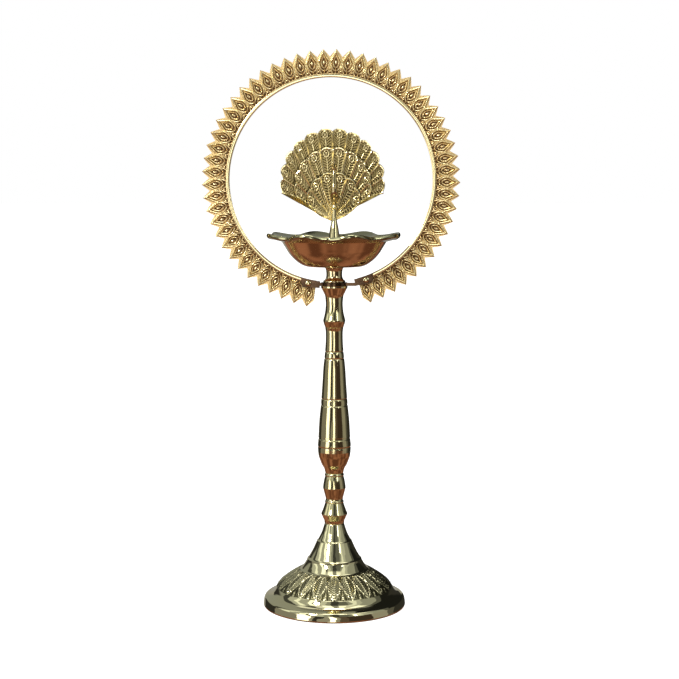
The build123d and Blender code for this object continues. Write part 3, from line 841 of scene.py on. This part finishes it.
def feather_heights(across, from_tip, half):
    """Relief of one feather: across is -1 to 1, lengths in mm."""
    off = np.abs(across) * half
    border = np.minimum((1 - np.abs(across)) * half, from_tip * 0.95 + 0.12)
    inner = np.clip((border - 0.7) / 0.3, 0, 1)
    wave = 0.5 + 0.5 * np.cos(2 * math.pi * (from_tip + 1.1 * off) / 1.75)
    height = 0.26 * wave ** 1.2 * inner
    height = np.maximum(height, 0.3 * ridge(off, 0.26) * (from_tip > 7.0))
    eye = np.sqrt((off / 1.9) ** 2 + ((from_tip - 4.1) / 2.4) ** 2)
    height = np.where(eye < EYE_OUTER, 0.0, height)
    height = np.maximum(height, 0.4 * ridge(eye - 0.9, 0.2))
    height = np.maximum(height, 0.5 * ridge(eye, 0.34))
    wide = np.where(from_tip < 1.6, 0.5, 0.38)
    return np.maximum(height, 0.62 * ridge(border - wide, wide))


print("a feather rises", round(float(feather_heights(np.linspace(-1, 1, 50), 2.0, 4.0).max()), 2), "mm")

# %% [markdown]
# ## Three tiers of feathers
# A tier is drawn on a grid of shares: one share goes from side to side and counts the
# feathers, the other goes from the root to the scalloped end. The lower sides are drawn
# down along a given curve. A dark band of painted shade, standing in for the shade that the
# tier in front would cast, is kept just outside that tier's edge, and the whole fan is bowed a little.


# %% Tail fan
COLUMNS_PER_FEATHER, ROWS_PER_FEATHER = 22, 70
# Width of the band of painted shade just outside the tier in front.
STEP_SHADE_WIDTH = 1.5


def tier_mesh(name, centre, radius, feathers, half_angle, root, front, back, bulge, side, above=None):
    """One tier, front and back; above is (x, z, radius) of the tier in front of it."""
    columns = feathers * COLUMNS_PER_FEATHER + 1
    a = np.linspace(-1, 1, columns)
    place_in = (a + 1) / 2 * feathers
    across = 2 * (place_in - np.floor(np.clip(place_in, 0, feathers - 1e-6))) - 1
    theta = np.radians(a * half_angle)
    reach = radius - bulge * across ** 2 * (1 - np.abs(a) ** 24)
    end = np.stack([centre[0] + reach * np.sin(theta), centre[1] + reach * np.cos(theta)], -1)
    root = np.array(root)
    t = np.linspace(0, 1, ROWS_PER_FEATHER)
    curve = smooth_line(side, 12)
    lift = np.stack([np.zeros_like(t), np.interp(t, curve[:, 0], curve[:, 1]) - t], -1)
    corner = np.where((a < 0)[:, None], end[0], end[-1]) - root
    flat = root + (end - root)[None] * t[:, None, None]
    flat = flat + lift[:, None, :] * corner[None] * (np.abs(a) ** 3)[None, :, None]
    long = np.linalg.norm(end - root, axis=1)[None, :]
    half = math.radians(half_angle) * radius / feathers * t[:, None]
    height = feather_heights(across[None, :], (1 - t[:, None]) * long, half)
    x, z = flat[..., 0], flat[..., 1]
    bow = FAN_BOW * x ** 2
    front_points = np.stack([x, front - height + bow, z], -1)
    back_points = np.stack([x, np.full_like(x, back) + bow, z], -1)[::-1]
    relief = height / FULL_RELIEF
    # Painted shade: just outside the edge of the tier in front, the relief, and so the colour, is darkened to
    # stand in for the shade that tier casts.
    if above is not None:
        step = np.hypot(x - above[0], z - above[1]) - above[2]
        relief = relief * np.where(step > 0, np.clip((step + 0.1) / STEP_SHADE_WIDTH, 0, 1), 1)
    relief = np.concatenate([relief, np.full_like(height, 0.55)])
    return grid_mesh(name, np.concatenate([front_points, back_points]), relief, wrap_rows=True)


tiers = [tier_mesh("outer", (-1.2, 294.4), 36.1, 12, 104.0, (-0.9, 266.5), 3.6, 4.8, 2.4, OUTER_SIDE,
                   (-0.9, 291.0, 26.2)),
         tier_mesh("middle", (-0.9, 291.0), 26.6, 10, 106.0, (-0.9, 267.9), 2.9, 3.7, 1.9, MIDDLE_SIDE,
                   (-0.5, 282.1, 18.0)),
         tier_mesh("inner", (-0.5, 282.1), 18.4, 6, 97.0, (-0.9, 269.3), 2.2, 3.0, 1.6, INNER_SIDE)]
for tier in tiers:
    tidy_mesh(tier, True)
place("tail_fan_feathers", join_meshes("fan", tiers), FAN_BRASS, "finial", ["tail_fan"],
      True)

# %% [markdown]
# ## Peacock
# Seen from the front the bird is a slim upright shape: a full breast, a drawn-up neck, a
# small head and a crest. Its body is one tube of ellipses that follows a curved line from
# the rump to the bill. Wings are two flat tubes along its sides, and the crest and the
# legs are tubes too, so one helper draws the whole bird. It can quilt a tube with scales.


# %% Helper for tubes
def tube_mesh(name, sections, around=28, per_span=7, scales=0.0):
    """A tube through sections of (x, y, z, half width, half thickness) in mm."""
    line = smooth_line(sections, per_span)
    middle, wide, thick = line[:, :3], line[:, 3], line[:, 4]
    ahead = np.gradient(middle, axis=0)
    ahead /= np.linalg.norm(ahead, axis=1, keepdims=True)
    sideways = np.array([1.0, 0, 0])
    upward = np.cross(sideways, ahead)
    upward /= np.linalg.norm(upward, axis=1, keepdims=True)
    angles = np.linspace(0, 2 * math.pi, around, endpoint=False)
    rows = np.arange(len(line))[:, None]
    quilt = scales * np.maximum(0, np.cos(angles * 7 + rows * math.pi * 0.5) * np.cos(rows * math.pi * 0.5))
    wide, thick = wide[:, None] + quilt, thick[:, None] + quilt
    points = (middle[:, None] + (wide * np.cos(angles))[..., None] * sideways
              + (thick * np.sin(angles))[..., None] * upward[:, None])
    relief = np.full((len(line), around), 0.7) if not scales else 0.45 + quilt / scales * 0.5
    return grid_mesh(name, points, relief, wrap_columns=True)


print("tube helper ready")

# %% Peacock
bird_line = [(0, 2.0, 284.2, 1.8, 2.2), (0, -2.0, 284.3, 2.6, 4.3), (0, -6.0, 285.0, 2.9, 5.2),
             (0, -9.3, 286.8, 2.7, 4.2), (0, -10.6, 290.0, 2.3, 3.0), (0, -10.2, 293.5, 2.0, 2.2),
             (0, -8.9, 297.5, 1.75, 1.8), (0, -8.0, 301.0, 1.65, 1.75), (0, -8.2, 303.4, 2.05, 2.1),
             (0, -9.4, 304.6, 1.8, 1.7), (0, -11.2, 304.3, 0.9, 0.95), (0, -12.8, 303.7, 0.5, 0.45),
             (0, -14.3, 302.9, 0.12, 0.12)]
bird = [tube_mesh("bird", bird_line, 36, 8, 0.1)]
for side in (-1, 1):
    wing_line = [(side * 1.9, -8.6, 288.4, 0.4, 0.9), (side * 2.45, -6.5, 287.4, 0.5, 2.4),
                 (side * 2.4, -3.0, 286.0, 0.5, 2.7), (side * 2.0, 0.2, 284.6, 0.4, 1.8),
                 (side * 1.6, 1.8, 283.4, 0.25, 0.8)]
    bird.append(tube_mesh("wing", wing_line, 20, 8, 0.06))
for lean in (-0.34, 0, 0.34):
    tip = (lean * 2.2, -7.3, 307.4 - abs(lean))
    plume = [(lean * 0.5, -7.9, 304.8, 0.22, 0.22), (lean * 1.4, -7.6, 306.2, 0.16, 0.16), (*tip, 0.16, 0.16)]
    bird.append(tube_mesh("crest", plume, 8, 4))
    bead = [(tip[0], tip[1], tip[2] - 0.55, 0.05, 0.05), (tip[0], tip[1], tip[2], 0.48, 0.48),
            (tip[0], tip[1], tip[2] + 0.5, 0.05, 0.05)]
    bird.append(tube_mesh("bead", bead, 12, 5))
legs = [(0, 0, 276.7, 1.7, 1.7), (0, 0, 278.5, 1.5, 1.5), (0, -1.0, 281.0, 1.9, 1.9),
        (0, -2.0, 283.0, 2.2, 2.2)]
bird.append(tube_mesh("legs", legs, 20, 5))
for part in bird:
    tidy_mesh(part, True)
place("peacock_figure", join_meshes("peacock", bird), BIRD_BRASS, "finial", ["peacock_body"],
      True)

# %% [markdown]
# ## Small fastenings
# The ring's ends are riveted to the bracket's pads and the fan is pinned to the bird.
# A rivet is a turned shape as well: a dome, a shank and a dome. It is drawn once along
# the depth of the lamp and moved to each place.


# %% Rivets and pin
RIVET_RING_R, RIVET_TURN = 71.75, 16.0
RIVET_DOME = 0.8
RIVET_SIDES = 32


def rivet_mesh(name, x, z, front, back, shank, head, dome):
    """A rivet through the lamp's depth, domed at both ends."""
    front_dome = [(0, front - dome), (head * 0.5, front - dome * 0.86), (head * 0.87, front - dome * 0.5),
                  (head, front)]
    back_dome = [(head, back), (head * 0.87, back + dome * 0.5), (head * 0.5, back + dome * 0.86),
                 (0, back + dome)]
    line = outline(front_dome, [(head, front), (shank, front)], [(shank, front), (shank, back)],
                   [(shank, back), (head, back)], back_dome, per_span=4)
    angles = np.linspace(0, 2 * math.pi, RIVET_SIDES, endpoint=False)
    r, y = line[:, :1], np.repeat(line[:, 1:], RIVET_SIDES, axis=1)
    points = np.stack([x + r * np.cos(angles), y, z + r * np.sin(angles)], -1)
    return grid_mesh(name, points, wrap_columns=True)


low, high = (np.array(corner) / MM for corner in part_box("bracket_rivets"))
rivets = []
for side in (-1, 1):
    a = math.radians(RIVET_TURN * side + RING_TURN)
    x = RING_CENTRE[0] + RIVET_RING_R * math.sin(a)
    z = RING_CENTRE[2] - RIVET_RING_R * math.cos(a)
    rivets.append(rivet_mesh("rivet", x, z, low[1] + RIVET_DOME, high[1] - RIVET_DOME, 1.3, 2.1, RIVET_DOME))
place("bracket_rivets_domed", join_meshes("rivets", rivets), STEM_BRASS, "prabhavali", ["bracket_rivets"])
place("fan_pin_domed", rivet_mesh("pin", 0, 285.0, -3.6, 4.8, 1.0, 1.0, 0.4), STUD_BRASS, "finial",
      ["fan_pin"])

# %% [markdown]
# ## The bracket stays as it is
# The bracket is a plain flat strap with an eye, and the frame's own piece already has the
# shape it needs. Only its metal is changed, by filling its material slots.

# %% Metal of the bracket
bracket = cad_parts["bracket"].data
# The slots get the bracket metal, whose dark colour is painted shade.
for index in range(len(bracket.materials)):
    bracket.materials[index] = BRACKET_BRASS
print("bracket slots", [material.name for material in bracket.materials])

# %% [markdown]
# ## Studio
# Polished metal shows the room more than itself. So the world is a room of upright
# bands, bright windows between dark walls, over a red-brown table. The bands draw the
# long streaks up the stem, and the table gives the undersides of the bowl and knops
# their copper glow. Straight lines of sight see plain white instead. The floor itself is
# a pale plane that no reflection sees, so it only grounds the lamp.


# %% Floor
def staged_plane(name, size, location, material):
    """A level rectangle of the studio, which isn't part of the lamp."""
    mesh = bpy.data.meshes.new(name)
    x, y = size[0] / 2, size[1] / 2
    mesh.from_pydata([(-x, -y, 0), (x, -y, 0), (x, y, 0), (-x, y, 0)], [], [(0, 1, 2, 3)])
    mesh.materials.append(material)
    plane = bpy.data.objects.new(name, mesh)
    plane.location = location
    bpy.context.scene.collection.objects.link(plane)
    return plane


def glowing_matt(name, colour, glow):
    """A matt colour that also glows."""
    material = bpy.data.materials.new(name)
    material.use_nodes = True
    shader = material.node_tree.nodes["Principled BSDF"]
    shader.inputs["Base Color"].default_value = (*colour, 1)
    shader.inputs["Roughness"].default_value = 0.9
    shader.inputs["Specular IOR Level"].default_value = 0.0
    shader.inputs["Emission Color"].default_value = (*colour, 1)
    shader.inputs["Emission Strength"].default_value = glow
    return material


floor = staged_plane("floor", (30, 30), (0, 10, 0), glowing_matt("pale_floor", (0.5, 0.5, 0.5), 1.75))
floor.visible_glossy = False
print("floor", tuple(floor.dimensions))

# %% [markdown]
# ## Bands of the room
# Each list goes once round the room, at one height: level with the lamp, high on the
# walls, and overhead. An entry is where a band starts, in degrees from the front, how
# bright it is, and, where given, how warm. A colour ramp without blending turns a list
# into hard-edged bands. The last band has the brightness of the first, so that the room
# has no seam behind the lamp.

# %% Helpers for the room
LEVEL_BANDS = [(-180, 0.35), (-150, 0.03), (-112, 0.24), (-66, 2.4), (-42, 0.34), (-34, 0.035), (-22, 0.30),
               (-12, 2.6), (-1, 0.30), (8, 0.10, 0.5), (24, 0.045, 0.6), (64, 0.30), (92, 0.10), (112, 0.03),
               (166, 0.35)]
HIGH_BANDS = [(-180, 0.3), (-122, 0.06), (-104, 0.5), (-90, 1.1), (-76, 0.42), (-60, 1.5), (-47, 0.1),
              (-34, 0.6), (-20, 0.3), (-8, 0.05), (12, 0.14), (24, 0.32), (34, 0.9), (48, 0.5), (66, 0.32),
              (92, 0.1), (108, 0.012), (168, 0.3)]
TOP_BANDS = [(-180, 0.2), (-130, 0.9), (-95, 0.12), (-60, 0.8), (-30, 1.6), (-5, 0.3), (10, 1.3), (35, 0.7),
             (60, 1.5), (90, 0.25), (120, 0.03), (166, 0.2)]


def band_ramp(tree, position, bands, tint):
    """The colour of a list of bands at a position, which goes from 0 to 1 round the room."""
    ramp = node(tree, "ShaderNodeValToRGB", Fac=position)
    ramp.color_ramp.interpolation = "CONSTANT"
    while len(ramp.color_ramp.elements) < len(bands):
        ramp.color_ramp.elements.new(0.5)
    for element, (start, level, *warmth) in zip(ramp.color_ramp.elements, bands):
        red, green, blue = (level * t for t in tint)
        cool = 1 - sum(warmth)
        element.position = start / 360 + 0.5
        element.color = (red, green * (0.55 + 0.45 * cool), blue * (0.35 + 0.65 * cool), 1)
    return ramp.outputs["Color"]


def smooth_step(tree, value, low, high):
    """A share that goes softly from 0 at low to 1 at high."""
    step = node(tree, "ShaderNodeMapRange", {"interpolation_type": "SMOOTHSTEP"}, Value=value)
    set_range(step, low, high)
    return step.outputs["Result"]


def blend_colours(tree, factor, first, second):
    """Two colours, or two sockets that carry colours, mixed by a factor."""
    mix = node(tree, "ShaderNodeMix", {"data_type": "RGBA"}, Factor=factor)
    for index, colour in ((6, first), (7, second)):
        if isinstance(colour, bpy.types.NodeSocket):
            tree.links.new(colour, mix.inputs[index])
        else:
            mix.inputs[index].default_value = (*colour, 1)
    return mix.outputs[2]


print("bands", len(LEVEL_BANDS), "level,", len(HIGH_BANDS), "high,", len(TOP_BANDS), "overhead")

# %% [markdown]
# ## The room itself
# The direction of a reflection gives an angle round the room and a height. A large soft
# noise sways the bands, so that their edges aren't ruled straight. Going down, the bands
# give way to the table, which has blotches of a darker red.

# %% World
world = bpy.data.worlds.new("studio")
bpy.context.scene.world = world
world.use_nodes = True
tree = world.node_tree
way = node(tree, "ShaderNodeSeparateXYZ", i0=tree.nodes.new("ShaderNodeTexCoord").outputs["Generated"])
ahead = node(tree, "ShaderNodeMath", {"operation": "MULTIPLY"}, i0=way.outputs["Y"], i1=-1.0)
angle = node(tree, "ShaderNodeMath", {"operation": "ARCTAN2"}, i0=way.outputs["X"], i1=ahead.outputs[0])
turn = node(tree, "ShaderNodeMath", {"operation": "MULTIPLY_ADD"}, i0=angle.outputs[0],
            i1=1 / (2 * math.pi), i2=0.5)
blotch = node(tree, "ShaderNodeTexNoise", Vector=way.inputs[0].links[0].from_socket, Scale=2.6, Detail=2.0)
sway = node(tree, "ShaderNodeMath", {"operation": "MULTIPLY_ADD"}, i0=blotch.outputs["Fac"],
            i1=0.10, i2=-0.05)
around = node(tree, "ShaderNodeMath", {"operation": "ADD"}, i0=turn.outputs[0], i1=sway.outputs[0]).outputs[0]
room = blend_colours(tree, smooth_step(tree, way.outputs["Z"], 0.14, 0.26),
                     band_ramp(tree, around, LEVEL_BANDS, (1.0, 0.98, 0.93)),
                     band_ramp(tree, around, HIGH_BANDS, (0.95, 1.0, 0.97)))
room = blend_colours(tree, smooth_step(tree, way.outputs["Z"], 0.78, 0.86), room,
                     band_ramp(tree, around, TOP_BANDS, (0.97, 1.0, 0.98)))
table = blend_colours(tree, smooth_step(tree, blotch.outputs["Fac"], 0.38, 0.66), (0.13, 0.05, 0.03),
                      (0.36, 0.155, 0.10))
room = blend_colours(tree, smooth_step(tree, way.outputs["Z"], -0.24, -0.34), room, table)
sight = node(tree, "ShaderNodeLightPath")
direct = node(tree, "ShaderNodeMath", {"operation": "MAXIMUM"}, i0=sight.outputs["Is Camera Ray"],
              i1=sight.outputs["Is Diffuse Ray"])
seen = blend_colours(tree, direct.outputs[0], room, (1, 1, 1))
tree.links.new(seen, tree.nodes["Background"].inputs["Color"])
print("world of", len(tree.nodes), "nodes")

# %% [markdown]
# ## Lights
# Three soft boxes add what the bands don't: a strong one from the upper left, a weak
# strip from the right, and one overhead that puts small highlights on beads and rivets.


# %% Lights
def soft_box(name, location, size, power, colour=(1, 1, 1), aim=(0, 0, 0.2)):
    """A rectangular lamp at a place, turned towards the middle of the samai."""
    light = bpy.data.lights.new(name, "AREA")
    light.shape, light.size, light.size_y = "RECTANGLE", *size
    light.energy, light.color = power, colour
    box = bpy.data.objects.new(name, light)
    box.location = location
    box.rotation_euler = (Vector(aim) - Vector(location)).to_track_quat("-Z", "Y").to_euler()
    bpy.context.scene.collection.objects.link(box)
    print(name, power, "watts")


soft_box("key_box", (-0.75, -0.95, 0.9), (0.2, 0.4), 9, (1, 0.99, 0.94))
soft_box("fill_box", (0.7, -1.0, 0.6), (0.12, 0.5), 0.8, (0.97, 1, 0.94))
soft_box("top_box", (0, -0.1, 1.5), (0.5, 0.5), 3)
bpy.context.scene.view_settings.view_transform = "Standard"
